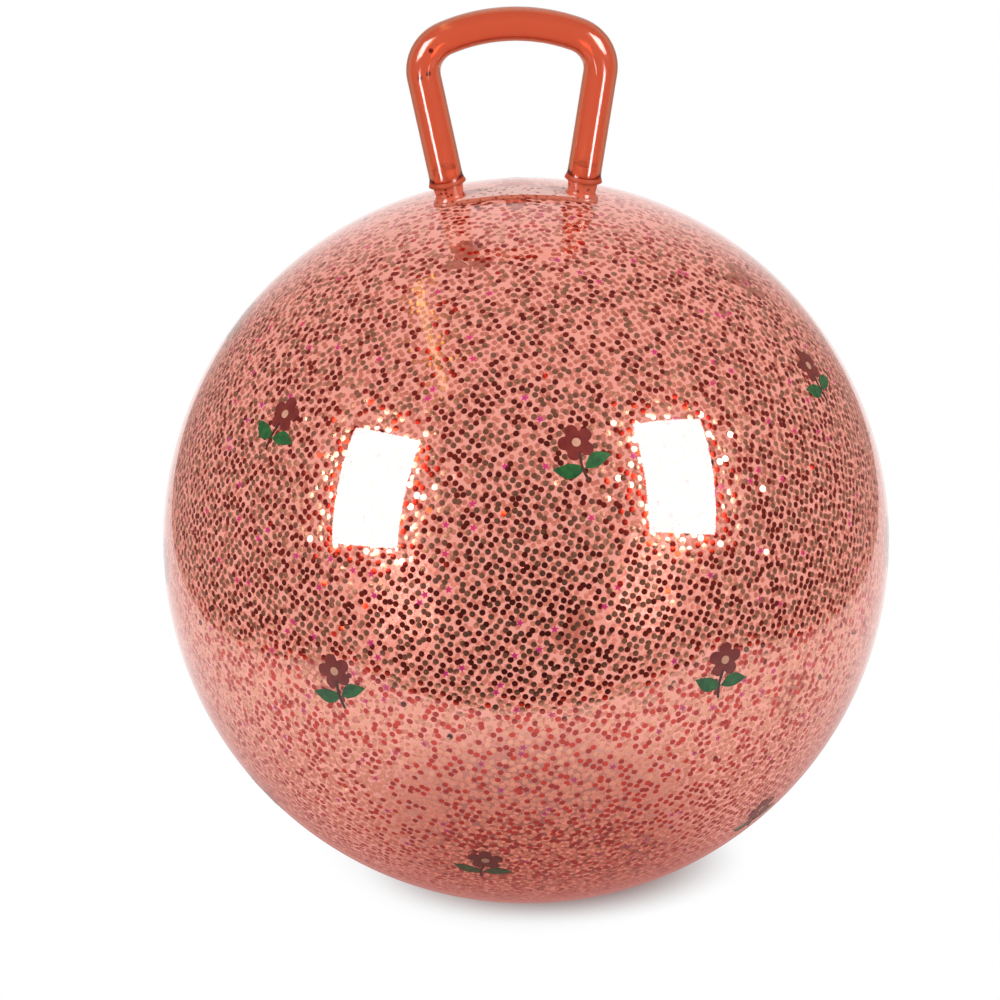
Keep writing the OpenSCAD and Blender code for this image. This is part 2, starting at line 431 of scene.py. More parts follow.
def tilted(normals):
    """Most flakes lie flush, some lean a little and a few stand away. The leans are in degrees."""
    kind = rng.random(len(normals))
    leaning_spread = np.where(kind < LEANING_SHARE, LEANING_LEAN, LOOSE_LEAN)
    spread = np.where(kind < FLUSH_SHARE, FLUSH_LEAN, leaning_spread)
    degrees = np.abs(rng.normal(0.0, 1.0, len(normals))) * spread
    lean = np.radians(np.clip(degrees, 0.0, MOST_LEAN))
    sideways, _ = flake_frames(normals, rng.random(len(normals)) * 2.0 * math.pi)
    return normals * np.cos(lean)[:, None] + sideways * np.sin(lean)[:, None], lean


places = np.arange(FLAKE_COUNT)
polar = np.arccos(1.0 - (2.0 * places + 1.0) / FLAKE_COUNT)
around = places * GOLDEN_ANGLE
radial = np.stack([np.sin(polar) * np.cos(around), np.sin(polar) * np.sin(around), np.cos(polar)], axis=1)
radial += rng.normal(0.0, FLAKE_STRAY / INSIDE_R, radial.shape)
radial /= np.linalg.norm(radial, axis=1)[:, None]
valve_axis = np.array([0.0, math.sin(VALVE_ANGLE), math.cos(VALVE_ANGLE)])
missing_share = np.interp(radial[:, 2], THINNING, (MISSING_LOW, MISSING_TOP))
free = (
    (radial @ valve_axis < math.cos(math.asin(VALVE_CLEAR_R / BALL_R)))
    & (rng.random(FLAKE_COUNT) > missing_share)
)
radial = radial[free]
kinds = rng.random(len(radial))
facing, lean = tilted(radial)
flake_radii = INSIDE_R - np.sin(lean) * DOT_R - rng.random(len(radial)) * FLAKE_DEPTH
centres = BALL_CENTRE + radial * flake_radii[:, None]
centres[:, 2] = np.maximum(centres[:, 2], LOWEST_FLAKE_Z)
turns = rng.random(len(radial)) * 2.0 * math.pi
shades = rng.integers(0, SHADES, len(radial))
upper = radial[:, 2] > 0.0
is_star = kinds < STAR_SHARE
is_red = ~is_star & (kinds < STAR_SHARE + RED_SHARE * (1.0 - STAR_SHARE))
is_silver = ~is_star & ~is_red


def add_flakes(name, chosen, outline, looks, node):
    """One piece of many flakes, each with one of the looks in front and the pale back behind."""
    verts, faces = flake_mesh(centres[chosen], facing[chosen], turns[chosen], outline)
    obj = add_piece(name, verts, faces, [*looks, back_look], "ball", [node], smooth=False)
    sides = len(outline)
    front = np.repeat((shades[chosen] % len(looks))[:, None], sides, axis=1)
    behind = np.full_like(front, len(looks))
    obj.data.polygons.foreach_set("material_index", np.concatenate([front, behind], axis=1).ravel())


for colour, of_colour, looks in (("red", is_red, red_looks), ("silver", is_silver, silver_looks)):
    for half, in_half in (("upper", upper), ("lower", ~upper)):
        add_flakes(
            colour + "_flakes_" + half, of_colour & in_half, dot_outline, looks,
            colour + "_glitter",
        )
add_flakes("star_flakes", is_star, star_outline, [star_look], "star_glitter")


# Carrying loop: a hollow tube swept along legs, corners and arched bar

LOOP_SEGMENTS = 64
LEG_STEPS = 45
CORNER_STEPS = 24
BAR_STEPS = 30
LIP_STEPS = 2
LIP_CURVE = 1.6


def loop_path():
    """Points on the loop's centreline from the left lip to the right one, with tangents and swell."""
    leg = np.array([math.sin(LEG_LEAN), math.cos(LEG_LEAN)])
    lip = np.array([LIP_X, LIP_Z])
    leg_end = lip + leg * LEG_LEN
    corner_x = LIP_X + LEG_LEN * math.sin(LEG_LEAN) - CORNER_R * math.cos(LEG_LEAN)
    corner_z = LIP_Z + LEG_LEN * math.cos(LEG_LEAN) + CORNER_R * math.sin(LEG_LEAN)
    bar_half = math.asin(corner_x / (BAR_R - CORNER_R))
    bar_z = corner_z - (BAR_R - CORNER_R) * math.cos(bar_half)
    half = []
    for t in np.linspace(0.0, 1.0, LEG_STEPS, endpoint=False):
        half.append((*(lip + (leg_end - lip) * t), math.pi / 2 - LEG_LEAN, 0.0))
    corner_sweep = math.pi / 2 - bar_half + LEG_LEAN
    for t in np.linspace(0.0, 1.0, CORNER_STEPS, endpoint=False):
        a = -LEG_LEAN + corner_sweep * t
        x = corner_x + CORNER_R * math.cos(a)
        z = corner_z + CORNER_R * math.sin(a)
        half.append((x, z, a + math.pi / 2, CORNER_SWELL * math.sin(math.pi * t)))
    for t in np.linspace(0.0, 1.0, BAR_STEPS):
        a = math.pi / 2 - bar_half + bar_half * t
        half.append((BAR_R * math.cos(a), bar_z + BAR_R * math.sin(a), a + math.pi / 2, 0.0))
    left = [(-x, z, math.pi - a, swell) for x, z, a, swell in half]
    right = [(x, z, a + math.pi, swell) for x, z, a, swell in reversed(half[:-1])]
    return left + right


def loop_rings(path, radii, segments):
    """A ring of points square to each point of the path."""
    verts = []
    for (x, z, angle, _), radius in zip(path, radii):
        out = (-math.sin(angle), math.cos(angle))
        for k in range(segments):
            phi = 2 * math.pi * k / segments
            verts.append((
                x + radius * math.cos(phi) * out[0],
                radius * math.sin(phi),
                z + radius * math.cos(phi) * out[1],
            ))
    return verts


def bridge(first, second, segments):
    """Faces between two rings of points, given by each ring's first point."""
    return [
        (first + k, second + k, second + (k + 1) % segments, first + (k + 1) % segments)
        for k in range(segments)
    ]


path = loop_path()
steps = len(path)
along_loop = np.concatenate([[0.0], np.cumsum([
    math.hypot(b[0] - a[0], b[1] - a[1]) for a, b in zip(path, path[1:])
])])
from_end = np.minimum(along_loop, along_loop[-1] - along_loop)
flare = LIP_FLARE * np.clip(1.0 - from_end / LIP_H, 0.0, 1.0) ** LIP_CURVE
swells = np.array([swell for x, z, angle, swell in path])
outer_radii = TUBE_R + swells + flare
inner_radii = BORE_R + swells
loop_verts = loop_rings(path, outer_radii, LOOP_SEGMENTS) + loop_rings(path, inner_radii, LOOP_SEGMENTS)
loop_faces = []
loop_looks = []
for step in range(steps - 1):
    outer = step * LOOP_SEGMENTS
    loop_faces += bridge(outer, outer + LOOP_SEGMENTS, LOOP_SEGMENTS)
    inner = (steps + step) * LOOP_SEGMENTS
    loop_faces += bridge(inner + LOOP_SEGMENTS, inner, LOOP_SEGMENTS)
    at_lip = step < LIP_STEPS or step >= steps - 1 - LIP_STEPS
    loop_looks += [int(at_lip)] * (2 * LOOP_SEGMENTS)
for end in (0, steps - 1):
    loop_faces += bridge(end * LOOP_SEGMENTS, (steps + end) * LOOP_SEGMENTS, LOOP_SEGMENTS)
    loop_looks += [1] * LOOP_SEGMENTS
loop = add_piece(
    "carrying_loop", loop_verts, loop_faces, [loop_look, lip_look], "handle", ["handle_loop"]
)
loop.data.polygons.foreach_set("material_index", loop_looks)
face_outwards(loop)


# Flakes trapped in the loop: step along its path and angle round the tube, -90 degrees being the front

TRAPPED_FLAKES = ((61, -85.0), (47, -75.0), (49, -112.0), (84, -150.0), (106, -150.0))
TRAPPED_GAP = 0.35 * MM
TRAPPED_SCALE = 0.8


def trapped_flakes():
    """Flakes that lie against the inside of the loop's tube."""
    centres, normals = [], []
    for step, degrees in TRAPPED_FLAKES:
        x, z, angle, swell = path[step]
        phi = math.radians(degrees)
        out = np.array([-math.sin(angle) * math.cos(phi), math.sin(phi), math.cos(angle) * math.cos(phi)])
        normals.append(out)
        centres.append(np.array([x, 0.0, z]) + out * (BORE_R + swell - TRAPPED_GAP))
    no_turns = np.zeros(len(centres))
    return flake_mesh(np.array(centres), np.array(normals), no_turns, dot_outline * TRAPPED_SCALE)


trapped_verts, trapped_faces = trapped_flakes()
trapped_look = foil_material("trapped_foil", (0.22, 0.03, 0.02), 0.35)
add_piece(
    "loop_flakes", trapped_verts, trapped_faces, [trapped_look], "handle", (), smooth=False
)


# Necks: turned about the leg's axis, from the saddle up into the leg

NECK_SEGMENTS = 64
NECK_SINK = 0.6 * MM
NECK_FOOT_R = NECK_BASE_R + 1.6 * MM
NECK_WAIST_R = NECK_BASE_R + 0.1 * MM
NECK_WAIST_H = 1.8 * MM
NECK_LIP_GAP = 0.4 * MM
NECK_ROUND = 0.8 * MM
SPIGOT_R = BORE_R - 0.2 * MM
SPIGOT_LEN = 10.0 * MM


def neck_matrix(side):
    """From the neck's own axis, with its lip at the origin, to its place on one side of the loop."""
    turn = Matrix.Rotation(side * LEG_LEAN, 4, "Y")
    return Matrix.Translation(Vector((side * LIP_X, 0.0, LIP_Z))) @ turn


neck_profile = rounded([
    (0.0, -NECK_H - NECK_SINK),
    (NECK_FOOT_R, -NECK_H - NECK_SINK),
    (NECK_WAIST_R, -NECK_H + NECK_WAIST_H),
    (NECK_TOP_R, -NECK_LIP_GAP),
    (SPIGOT_R, -NECK_LIP_GAP),
    (SPIGOT_R, SPIGOT_LEN),
    (0.0, SPIGOT_LEN),
], NECK_ROUND)
for side, name, node in ((-1, "neck_left", "left_neck"), (1, "neck_right", "right_neck")):
    verts, faces = lathe(neck_profile, NECK_SEGMENTS)
    in_leg = [int(max(verts[i][2] for i in face) > 0.0) for face in faces]
    verts = placed(verts, neck_matrix(side))
    neck = add_piece(name, verts, faces, [neck_look, spigot_look], None, [node])
    neck.data.polygons.foreach_set("material_index", in_leg)
    face_outwards(neck)
    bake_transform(neck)


# Saddle: a strip over the crown with rounded edges, which are painted darker as shade

SADDLE_EDGE_H = 0.4
SADDLE_EDGE_ROUND = 0.13
SADDLE_EDGE_STEPS = 6
# Faces out past this share of the width, on the rounded edge, take the darker copy: painted shade
SHADED_EDGE_SHARE = 0.9


def stadium(half_length, half_width, side_steps=40, end_steps=20):
    """An outline with two straight sides and round ends."""
    points = []
    straight = half_length - half_width
    for x in np.linspace(straight, -straight, side_steps):
        points.append((x, half_width))
    for a in np.linspace(math.pi / 2, 3 * math.pi / 2, end_steps)[1:-1]:
        points.append((-straight + half_width * math.cos(a), half_width * math.sin(a)))
    for x in np.linspace(-straight, straight, side_steps):
        points.append((x, -half_width))
    for a in np.linspace(-math.pi / 2, math.pi / 2, end_steps)[1:-1]:
        points.append((straight + half_width * math.cos(a), half_width * math.sin(a)))
    return points


def on_sphere(x, y, radius):
    """The point above (x, y) at a radius from the ball's middle."""
    return (x, y, BALL_Z + math.sqrt(radius ** 2 - x ** 2 - y ** 2))


def saddle_mesh():
    """Outlines from the underside's middle out to the edge, over it and back to the top's middle."""
    half_width = SADDLE_W / 2
    straight = SADDLE_HALF - half_width
    thick = SADDLE_R2 - SADDLE_R1
    levels = [(0.0, 0.0), (1.0, 0.0), (1.0, 0.35)]
    for a in np.linspace(0.0, math.pi / 2, SADDLE_EDGE_STEPS):
        share = 1.0 - SADDLE_EDGE_ROUND * (1 - math.cos(a))
        levels.append((share, SADDLE_EDGE_H + (1.0 - SADDLE_EDGE_H) * math.sin(a)))
    levels += [(0.6, 1.0), (0.3, 1.0), (0.0, 1.0)]
    outline = stadium(SADDLE_HALF, half_width)
    verts, faces = [], []
    for share, height in levels:
        for x, y in outline:
            core = max(-straight, min(straight, x))
            verts.append(on_sphere(core + (x - core) * share, y * share, SADDLE_R1 + thick * height))
    count = len(outline)
    looks = []
    for level in range(len(levels) - 1):
        faces += bridge(level * count, (level + 1) * count, count)
        looks += [int(levels[level + 1][0] > SHADED_EDGE_SHARE)] * count
    return verts, faces, looks


saddle_verts, saddle_faces, saddle_looks = saddle_mesh()
saddle = add_piece(
    "crown_saddle", saddle_verts, saddle_faces, [saddle_look, saddle_edge_shade_look],
    "ball", ["handle_saddle"],
)
saddle.data.polygons.foreach_set("material_index", saddle_looks)
face_outwards(saddle, weld=True)


# Valve: the seat's rim on the skin and the plug's head, turned about the valve's axis

VALVE_SEGMENTS = 72
SEAT_BORE = 4.05 * MM
SEAT_ROUND = 0.5 * MM
FLANGE_TOP = -1.938 * MM
FLANGE_BASE = FLANGE_TOP - 1.5 * MM
FLANGE_R = 14.0 * MM
SLEEVE_END = -13.438 * MM
SLEEVE_R = 6.5 * MM
RIM_R = 8.5 * MM
RIM_TOP = 1.0 * MM
STEM_R = 4.0 * MM
TIP_R = 2.5 * MM
TIP_Z = SLEEVE_END - 3.0 * MM
HEAD_R = 7.0 * MM
HEAD_Z = 1.05 * MM
HEAD_SIDE_Z = HEAD_Z + 1.3 * MM
HEAD_TOP_R = 5.9 * MM
HEAD_TOP_Z = HEAD_Z + 2.2 * MM
DISH_R = 4.4 * MM
DISH_FLOOR_R = 3.9 * MM
DISH_FLOOR_Z = HEAD_Z + 1.6 * MM
PLUG_ROUND = 0.45 * MM


def ring_lathe(profile, segments):
    """Turns a closed (radius, height) outline that stays clear of the axis."""
    verts = []
    for radius, height in profile:
        for k in range(segments):
            a = 2 * math.pi * k / segments
            verts.append((radius * math.cos(a), radius * math.sin(a), height))
    faces = []
    for ring in range(len(profile)):
        faces += bridge(ring * segments, ((ring + 1) % len(profile)) * segments, segments)
    return np.array(verts), faces


valve_matrix = (
    Matrix.Translation(Vector((0.0, 0.0, BALL_Z)))
    @ Matrix.Rotation(-VALVE_ANGLE, 4, "X")
    @ Matrix.Translation(Vector((0.0, 0.0, BALL_R)))
)
seat_outline = rounded([
    (SEAT_BORE, SLEEVE_END), (SLEEVE_R, SLEEVE_END), (SLEEVE_R, FLANGE_BASE),
    (FLANGE_R, FLANGE_BASE), (FLANGE_R, FLANGE_TOP), (RIM_R, FLANGE_TOP),
    (RIM_R, RIM_TOP), (SEAT_BORE, RIM_TOP),
], SEAT_ROUND)
seat_verts, seat_faces = ring_lathe(seat_outline, VALVE_SEGMENTS)
seat = add_piece(
    "valve_rim", placed(seat_verts, valve_matrix), seat_faces, [seat_look], "ball", ["valve_seat"]
)
face_outwards(seat)

plug_profile = rounded([
    (0.0, TIP_Z), (TIP_R, TIP_Z), (STEM_R, SLEEVE_END),
    (STEM_R, HEAD_Z), (HEAD_R, HEAD_Z), (HEAD_R, HEAD_SIDE_Z), (HEAD_TOP_R, HEAD_TOP_Z),
    (DISH_R, HEAD_TOP_Z), (DISH_FLOOR_R, DISH_FLOOR_Z), (0.0, DISH_FLOOR_Z),
], PLUG_ROUND)
plug_verts, plug_faces = lathe(plug_profile, VALVE_SEGMENTS)
plug = add_piece(
    "valve_bung", placed(plug_verts, valve_matrix), plug_faces, [plug_look], "plug", ["valve_plug"]
)
face_outwards(plug)


# Printed sprigs: a five-petalled blossom on a short stalk with two leaves, as thin ink on the skin

INK_LOW = -0.3 * MM
INK_HIGH = 0.11 * MM
INK_SHARES = (1.0, 0.66, 0.33)
HEART_LIFT = 0.05 * MM
STALK_LIFT = 0.03 * MM
PETALS = 5
PETAL_DEPTH = 0.48
PETAL_ROUND = 0.6
BLOSSOM_R = 11.0 * MM
BLOSSOM_TURN = 8.0
BLOSSOM_AT = (0.0, 7.0 * MM)
HEART_R = 2.6 * MM
FORK_AT = (0.5 * MM, -9.0 * MM)
LEAF_BEND = 1.5 * MM
LEAF_BULGE = 0.9
STALK_TOP = (0.0, 1.0 * MM)
STALK_END = (0.5 * MM, -17.0 * MM)
STALK_BOW = 1.2 * MM
STALK_W = 1.5 * MM
SPRIGS_PER_RING = 6

# Each leaf's length, width and direction in degrees
LEAVES = ((19.0 * MM, 9.0 * MM, 168.0), (18.0 * MM, 8.5 * MM, 14.0))

# Each ring's latitude, first azimuth and lean, in degrees
SPRIG_RINGS = ((34.0, 10.0, -10.0), (-2.0, 30.0, 12.0), (-38.0, 50.0, -14.0))


def leaf_outline(length, width, bend):
    """A pointed leaf along +X from its stalk end, with a curved middle."""
    t = np.linspace(0.0, 1.0, 15)
    half = width / 2 * np.sin(math.pi * t ** LEAF_BULGE)
    middle = bend * np.sin(math.pi * t)
    top = np.stack([length * t, middle + half], axis=1)
    low = np.stack([length * t, middle - half], axis=1)[1:-1][::-1]
    return np.concatenate([top, low])


def blossom_outline(radius):
    """Round petals about a middle, one of them at the top."""
    a = np.linspace(0.0, 2 * math.pi, 70, endpoint=False)
    bulge = np.abs(np.cos(PETALS / 2 * (a - math.pi / 2))) ** PETAL_ROUND
    reach = radius * (1.0 - PETAL_DEPTH + PETAL_DEPTH * bulge)
    return np.stack([reach * np.cos(a), reach * np.sin(a)], axis=1)


def disc_outline(radius):
    """A round dot."""
    a = np.linspace(0.0, 2 * math.pi, 20, endpoint=False)
    return np.stack([radius * np.cos(a), radius * np.sin(a)], axis=1)


def stalk_outline(start, end, bow, width):
    """A narrow band that bows to one side between its ends."""
    t = np.linspace(0.0, 1.0, 9)[:, None]
    start, end = np.array(start), np.array(end)
    side = np.array([end[1] - start[1], start[0] - end[0]])
    side = side / np.linalg.norm(side)
    middle = start + (end - start) * t + side * bow * np.sin(math.pi * t)
    return np.concatenate([middle + side * width / 2, (middle - side * width / 2)[::-1]])


def turned(outline, degrees, shift):
    """An outline turned about its own origin and then moved."""
    a = math.radians(degrees)
    rotation = np.array([[math.cos(a), -math.sin(a)], [math.sin(a), math.cos(a)]])
    return outline @ rotation.T + np.array(shift)


sprig_inks = {
    "petals": [turned(blossom_outline(BLOSSOM_R), BLOSSOM_TURN, BLOSSOM_AT)],
    "heart": [turned(disc_outline(HEART_R), 0.0, BLOSSOM_AT)],
    "leaf": [
        turned(leaf_outline(length, width, LEAF_BEND), degrees, FORK_AT)
        for length, width, degrees in LEAVES
    ],
    "stalk": [stalk_outline(STALK_TOP, STALK_END, STALK_BOW, STALK_W)],
}


def sprig_axes(latitude, azimuth, spin):
    """Directions right, up and outwards on the ball, azimuth 0 being the front."""
    lat, az, turn = math.radians(latitude), math.radians(azimuth), math.radians(spin)
    out = np.array([math.sin(az) * math.cos(lat), -math.cos(az) * math.cos(lat), math.sin(lat)])
    right = np.array([math.cos(az), math.sin(az), 0.0])
    up = np.cross(out, right)
    return right * math.cos(turn) + up * math.sin(turn), up * math.cos(turn) - right * math.sin(turn), out


def ink_patch(outline, axes, lift):
    """A thin closed patch of ink: the upper face's rings come first, then the lower face's."""
    right, up, out = axes

    def on_ball(point, height):
        flat = out * BALL_R + right * point[0] + up * point[1]
        return BALL_CENTRE + flat / np.linalg.norm(flat) * (BALL_R + height)

    middle = outline.mean(axis=0)
    verts, upper, lower = [], [], []
    count = len(outline)
    for height in (INK_HIGH + lift, INK_LOW):
        for share in INK_SHARES:
            verts += [on_ball(point, height) for point in middle + (outline - middle) * share]
        verts.append(on_ball(middle, height))
    rings = len(INK_SHARES)
    layer = rings * count + 1
    for base, faces in ((0, upper), (layer, lower)):
        for ring in range(rings - 1):
            faces += bridge(base + ring * count, base + (ring + 1) * count, count)
        last = base + (rings - 1) * count
        faces += [(last + k, last + (k + 1) % count, base + layer - 1) for k in range(count)]
    upper += bridge(0, layer, count)
    return verts, upper, lower


def add_ink(name, ink, look, lift):
    """All sprigs' patches of one ink, as one piece with a pale underside."""
    verts, faces, sides = [], [], []
    for latitude, first, spin in SPRIG_RINGS:
        for k in range(SPRIGS_PER_RING):
            axes = sprig_axes(latitude, first + k * 360.0 / SPRIGS_PER_RING, spin * (1 if k % 2 else -1))
            for outline in sprig_inks[ink]:
                patch_verts, upper, lower = ink_patch(outline, axes, lift)
                faces += [tuple(i + len(verts) for i in face) for face in upper + lower]
                sides += [0] * len(upper) + [1] * len(lower)
                verts += patch_verts
    obj = add_piece(name, verts, faces, [look, underprint_look], "ball", (), smooth=False)
    obj.data.polygons.foreach_set("material_index", sides)
    face_outwards(obj)


add_ink("printed_petals", "petals", petal_look, 0.0)
add_ink("printed_hearts", "heart", heart_look, HEART_LIFT)
add_ink("printed_leaves", "leaf", leaf_look, 0.0)
add_ink("printed_stalks", "stalk", stalk_look, STALK_LIFT)


# Studio: white table, white backdrop behind, grey room in front

WHITE = (1.0, 1.0, 1.0)
PAPER_GREY = (0.42, 0.42, 0.42)
PINK_GLOW = (0.52, 0.25, 0.23)
SHADOW_MIDDLE = (0.0, 0.07, 0.0)
SHADOW_SIZE = (0.15, 0.18, 1.0)
SHADOW_REACH = (0.32, 0.98)
SHADOW_LEAST = 0.25
CONTACT_MIDDLE = (0.012, 0.0, 0.0)
CONTACT_SIZE = (0.105, 0.075, 1.0)
CONTACT_REACH = (0.52, 1.2)
CONTACT_LEAST = 0.1
MIRRORED_REACH = (0.10, 0.49)
FLOOR_FRONT = -0.55
FLOOR_BACK = 1.6
FLOOR_HALF = 0.66
FLOOR_Z = -0.2 * MM
ROOM_R = 2.1
ROOM_RINGS = 41
ROOM_SEGMENTS = 72
ROOM_NARROWING = (2.0, 1.0, 1.0)
ROOM_STOPS = [
    (0.0, (0.072, 0.065, 0.055)), (0.08, (0.092, 0.083, 0.070)), (0.20, (0.150, 0.135, 0.115)),
    (0.35, (0.155, 0.140, 0.120)), (0.50, (0.200, 0.180, 0.155)), (0.80, (0.320, 0.300, 0.270)),
    (0.94, WHITE),
]
BACKDROP_RISE = math.radians(15.0)
BACKDROP_AXIS = Vector((0.0, math.cos(BACKDROP_RISE), math.sin(BACKDROP_RISE)))


def white_when_seen(nodes, links):
    """1 for rays from the camera, a mirror or glass, which see the white itself."""
    path_info = nodes.new("ShaderNodeLightPath")
    first = nodes.new("ShaderNodeMath")
    first.operation = "MAXIMUM"
    links.new(path_info.outputs["Is Camera Ray"], first.inputs[0])
    links.new(path_info.outputs["Is Glossy Ray"], first.inputs[1])
    second = nodes.new("ShaderNodeMath")
    second.operation = "MAXIMUM"
    links.new(first.outputs[0], second.inputs[0])
    links.new(path_info.outputs["Is Transmission Ray"], second.inputs[1])
    return second.outputs[0]


def white_share(nodes, links, coords, middle, size, reach, least):
    """How white the floor is: little under the ball, wholly so past the shadow's reach."""
    shift = nodes.new("ShaderNodeVectorMath")
    shift.operation = "SUBTRACT"
    shift.inputs[1].default_value = middle
    links.new(coords.outputs["Object"], shift.inputs[0])
    scale = nodes.new("ShaderNodeVectorMath")
    scale.operation = "DIVIDE"
    scale.inputs[1].default_value = size
    links.new(shift.outputs[0], scale.inputs[0])
    length = nodes.new("ShaderNodeVectorMath")
    length.operation = "LENGTH"
    links.new(scale.outputs[0], length.inputs[0])
    share = nodes.new("ShaderNodeMapRange")
    share.interpolation_type = "SMOOTHSTEP"
    share.inputs["From Min"].default_value = reach[0]
    share.inputs["From Max"].default_value = reach[1]
    share.inputs["To Min"].default_value = least
    links.new(length.outputs["Value"], share.inputs["Value"])
    return share.outputs["Result"]


def floor_material():
    """White paper with the ball's soft shadow, and the pink light under the ball as mirrors see it."""
    material, nodes, links, output = new_material("white_table")
    paper = nodes.new("ShaderNodeBsdfDiffuse")
    paper.inputs["Color"].default_value = (*PAPER_GREY, 1.0)
    white = nodes.new("ShaderNodeEmission")
    white.inputs["Color"].default_value = (*WHITE, 1.0)
    coords = nodes.new("ShaderNodeTexCoord")
    shaded = white_share(nodes, links, coords, SHADOW_MIDDLE, SHADOW_SIZE, SHADOW_REACH, SHADOW_LEAST)
    contact = white_share(nodes, links, coords, CONTACT_MIDDLE, CONTACT_SIZE, CONTACT_REACH, CONTACT_LEAST)
    seen = nodes.new("ShaderNodeMath")
    seen.operation = "MULTIPLY"
    links.new(shaded, seen.inputs[0])
    links.new(contact, seen.inputs[1])
    mirrored = white_share(nodes, links, coords, (0.0, 0.0, 0.0), (1.0, 1.0, 1.0), MIRRORED_REACH, 0.0)
    path_info = nodes.new("ShaderNodeLightPath")
    choice = nodes.new("ShaderNodeMix")
    links.new(path_info.outputs["Is Glossy Ray"], choice.inputs["Factor"])
    links.new(seen.outputs[0], choice.inputs["A"])
    links.new(mirrored, choice.inputs["B"])
    share = nodes.new("ShaderNodeMath")
    share.operation = "MULTIPLY"
    links.new(white_when_seen(nodes, links), share.inputs[0])
    links.new(choice.outputs["Result"], share.inputs[1])
    glow = nodes.new("ShaderNodeEmission")
    glow.inputs["Color"].default_value = (*PINK_GLOW, 1.0)
    under = nodes.new("ShaderNodeMixShader")
    links.new(path_info.outputs["Is Glossy Ray"], under.inputs["Fac"])
    links.new(paper.outputs[0], under.inputs[1])
    links.new(glow.outputs[0], under.inputs[2])
    mix = nodes.new("ShaderNodeMixShader")
    links.new(share.outputs[0], mix.inputs["Fac"])
    links.new(under.outputs[0], mix.inputs[1])
    links.new(white.outputs[0], mix.inputs[2])
    links.new(mix.outputs[0], output.inputs["Surface"])
    return material


def room_material():
    """Dark grey all round, rising to white towards the backdrop."""
    material, nodes, links, output = new_material("grey_room")
    coords = nodes.new("ShaderNodeTexCoord")
    narrow = nodes.new("ShaderNodeVectorMath")
    narrow.operation = "MULTIPLY"
    narrow.inputs[1].default_value = ROOM_NARROWING
    links.new(coords.outputs["Object"], narrow.inputs[0])
    unit = nodes.new("ShaderNodeVectorMath")
    unit.operation = "NORMALIZE"
    links.new(narrow.outputs[0], unit.inputs[0])
    towards = nodes.new("ShaderNodeVectorMath")
    towards.operation = "DOT_PRODUCT"
    towards.inputs[1].default_value = BACKDROP_AXIS
    links.new(unit.outputs[0], towards.inputs[0])
    place = nodes.new("ShaderNodeMapRange")
    place.inputs["From Min"].default_value = -1.0
    links.new(towards.outputs["Value"], place.inputs["Value"])
    grey = nodes.new("ShaderNodeEmission")
    links.new(ramp(nodes, links, place.outputs["Result"], ROOM_STOPS), grey.inputs["Color"])
    links.new(grey.outputs[0], output.inputs["Surface"])
    return material


floor = add_piece(
    "floor",
    [
        (-FLOOR_HALF, FLOOR_FRONT, FLOOR_Z), (FLOOR_HALF, FLOOR_FRONT, FLOOR_Z),
        (FLOOR_HALF, FLOOR_BACK, FLOOR_Z), (-FLOOR_HALF, FLOOR_BACK, FLOOR_Z),
    ],
    [(0, 1, 2, 3)], [floor_material()], None, smooth=False,
)

room_profile = [
    (ROOM_R * math.sin(a), -ROOM_R * math.cos(a)) for a in np.linspace(0.0, math.pi, ROOM_RINGS)
]
room_verts, room_faces = lathe(room_profile, ROOM_SEGMENTS)
room = add_piece("grey_room", room_verts, room_faces, [room_material()], None)
room.location = (0.0, 0.0, BALL_Z)
room.visible_camera = False
room.visible_transmission = False
room.visible_shadow = False

world = bpy.data.worlds.new("white_backdrop")
bpy.context.scene.world = world
world.use_nodes = True
background = world.node_tree.nodes["Background"]
background.inputs["Color"].default_value = (*WHITE, 1.0)
background.inputs["Strength"].default_value = 1.0


# Lamps: directions lead from what a lamp faces to the lamp

UPWARDS = (0.0, 0.0, 1.0)
BALL_MIDDLE = (0.0, 0.0, BALL_Z)
SOFTBOX_SIZE = (0.56, 0.80)
SOFTBOXES = (("left", (-0.696, -0.529, 0.485), 12.0), ("right", (0.703, -0.511, 0.495), -22.0))
LIGHT_DISTANCE = 1.52
LIGHT_LEVEL = 10.0
MIRROR_DISTANCE = 1.48
MIRROR_LEVEL = 16.0
SLOT_SIZE = (0.05, 1.10)
SLOT_DIRECTION = (-0.375, 0.010, 0.927)
SLOT_ALONG = (-0.03, 1.0, 0.0)
SLOT_DISTANCE = 1.45
SLOT_LEVEL = 4.0
SLOT_COLOUR = (1.0, 0.60, 0.22)
LEG_MIDDLE_X = 0.050
LEG_MIDDLE_Z = 0.495
STRIP_SIZE = (0.15, 0.34)
STRIP_SIDEWAYS = 0.40
STRIP_FORWARDS = 0.84
STRIP_DOWN = 0.37
STRIP_DISTANCE = 0.25
STRIP_LEVEL = 0.35
STRIP_SPREAD = math.radians(20.0)


def add_lamp(name, faces, direction, distance, size, level, along=UPWARDS, spin=0.0):
    """A rectangular lamp that faces a point, with its height along a line but for its spin in degrees."""
    light = bpy.data.lights.new(name, "AREA")
    light.shape = "RECTANGLE"
    light.size, light.size_y = size
    light.energy = level * math.pi * size[0] * size[1]
    lamp = bpy.data.objects.new(name, light)
    bpy.context.scene.collection.objects.link(lamp)
    way = Vector(direction).normalized()
    height = Vector(along) - way * way.dot(Vector(along))
    height.normalize()
    facing_back = Matrix((height.cross(way), height, way)).transposed().to_4x4()
    place = Matrix.Translation(Vector(faces) + way * distance)
    lamp.matrix_world = place @ facing_back @ Matrix.Rotation(math.radians(spin), 4, "Z")
    lamp.visible_camera = False
    return lamp


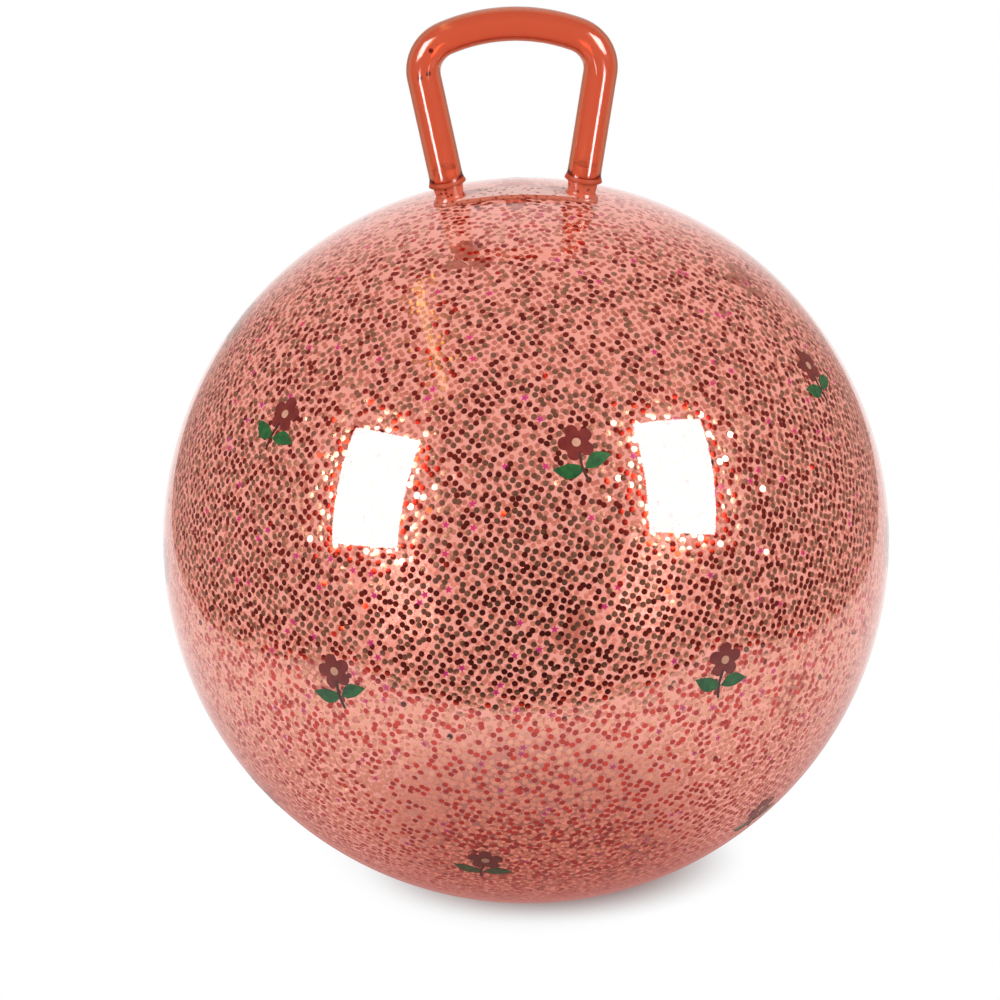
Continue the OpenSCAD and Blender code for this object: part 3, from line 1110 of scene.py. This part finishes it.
# Each soft box is one lamp for matt surfaces and one for highlights
for side, direction, spin in SOFTBOXES:
    softbox = add_lamp(
        "softbox_" + side, BALL_MIDDLE, direction, LIGHT_DISTANCE, SOFTBOX_SIZE, LIGHT_LEVEL,
        spin=spin,
    )
    softbox.visible_glossy = False
    shine = add_lamp(
        "softbox_shine_" + side, BALL_MIDDLE, direction, MIRROR_DISTANCE, SOFTBOX_SIZE, MIRROR_LEVEL,
        spin=spin,
    )
    shine.visible_diffuse = False

# A faint slot of light overhead, which the foil mirrors as a streak of sparkle
overhead_slot = add_lamp(
    "overhead_slot", BALL_MIDDLE, SLOT_DIRECTION, SLOT_DISTANCE, SLOT_SIZE, SLOT_LEVEL, along=SLOT_ALONG
)
overhead_slot.data.color = SLOT_COLOUR
overhead_slot.visible_diffuse = False

# Two low strips that only the loop mirrors, as lines along its legs
loop_only = bpy.data.collections.new("loop_only")
loop_only.objects.link(loop)
for side, sign in (("left", -1), ("right", 1)):
    strip = add_lamp(
        "loop_strip_" + side, (sign * LEG_MIDDLE_X, 0.0, LEG_MIDDLE_Z),
        (sign * STRIP_SIDEWAYS, -STRIP_FORWARDS, -STRIP_DOWN), STRIP_DISTANCE, STRIP_SIZE, STRIP_LEVEL,
    )
    strip.data.spread = STRIP_SPREAD
    strip.visible_diffuse = False
    strip.visible_transmission = False
    strip.light_linking.receiver_collection = loop_only


# Camera

PHOTO_PX = 1000.0
BALL_PX = (526.0, 540.0)
BALL_RADIUS_PX = 363.0
CAMERA_DISTANCE = 2.8
CAMERA_ELEVATION = math.radians(21.8)
CAMERA_ROLL = math.radians(1.7)
SENSOR_W = 36.0

focal_px = BALL_RADIUS_PX * math.sqrt(CAMERA_DISTANCE ** 2 - BALL_R ** 2) / BALL_R
back = Vector((0.0, -math.cos(CAMERA_ELEVATION), math.sin(CAMERA_ELEVATION)))
level_right = Vector((1.0, 0.0, 0.0))
level_up = back.cross(level_right)
right = level_right * math.cos(CAMERA_ROLL) - level_up * math.sin(CAMERA_ROLL)
up = level_up * math.cos(CAMERA_ROLL) + level_right * math.sin(CAMERA_ROLL)
centre = Vector(BALL_MIDDLE)
eye = centre + back * CAMERA_DISTANCE
off_x = BALL_PX[0] - PHOTO_PX / 2
off_y = BALL_PX[1] - PHOTO_PX / 2
aim = centre + (up * off_y - right * off_x) * (CAMERA_DISTANCE / focal_px)
look_back = (eye - aim).normalized()
look_right = up.cross(look_back).normalized()
look_up = look_back.cross(look_right)
camera_data = bpy.data.cameras.new("camera")
camera_data.sensor_width = SENSOR_W
camera_data.lens = focal_px / PHOTO_PX * SENSOR_W
camera = bpy.data.objects.new("camera", camera_data)
bpy.context.scene.collection.objects.link(camera)
turn = Matrix((look_right, look_up, look_back)).transposed().to_4x4()
camera.matrix_world = Matrix.Translation(eye) @ turn
bpy.context.scene.camera = camera
bpy.context.scene.view_settings.view_transform = "Standard"
